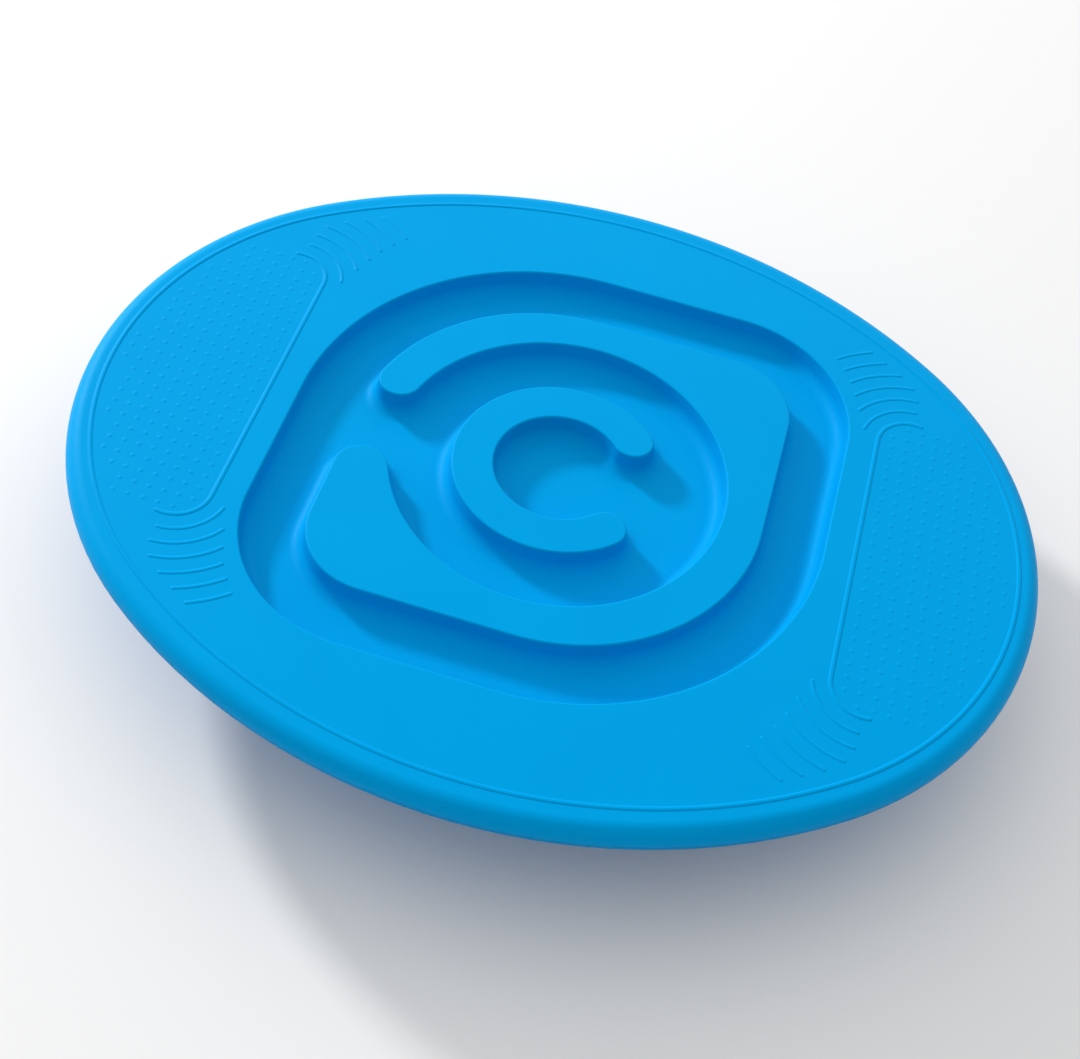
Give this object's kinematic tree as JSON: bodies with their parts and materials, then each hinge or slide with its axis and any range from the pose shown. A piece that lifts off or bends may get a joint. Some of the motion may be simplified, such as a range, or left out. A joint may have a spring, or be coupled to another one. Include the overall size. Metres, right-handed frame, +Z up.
{
  "type": "maze balance board",
  "caption": "Oval rocking balance board with a moulded ball maze in its deck, textured foot areas and a round rocker dome underneath.",
  "frame": {"origin": "on the floor, under the middle of the board, at the centre of the rocker's flat foot", "axes": "+X along the board's long axis through both foot areas, +Y along its width, +Z up through the deck"},
  "size_m": [0.5758, 0.4718, 0.0908],
  "materials": {
    "blue_shell": "fine spark-eroded satin texture, sky blue, injection moulded",
    "blue_pan": "fine satin texture, sky blue, injection moulded",
    "tread_rubber": "matt dark grey elastomer with moulded grooves",
    "screw_steel": "zinc plated, cross recess"
  },
  "bodies": {
    "root": {"deck": "blue_shell", "base_pan": "blue_pan", "rocker_dome": "blue_pan", "rocker_tread": "tread_rubber", "rocker_screws": "screw_steel", "rocker_washers": "screw_steel", "pocket_plugs": "tread_rubber", "shell_screws": "screw_steel", "bumper_left": "tread_rubber", "bumper_right": "tread_rubber", "bumper_front_left": "tread_rubber", "bumper_front_right": "tread_rubber", "bumper_rear_left": "tread_rubber", "bumper_rear_right": "tread_rubber"}
  },
  "joints": []
}
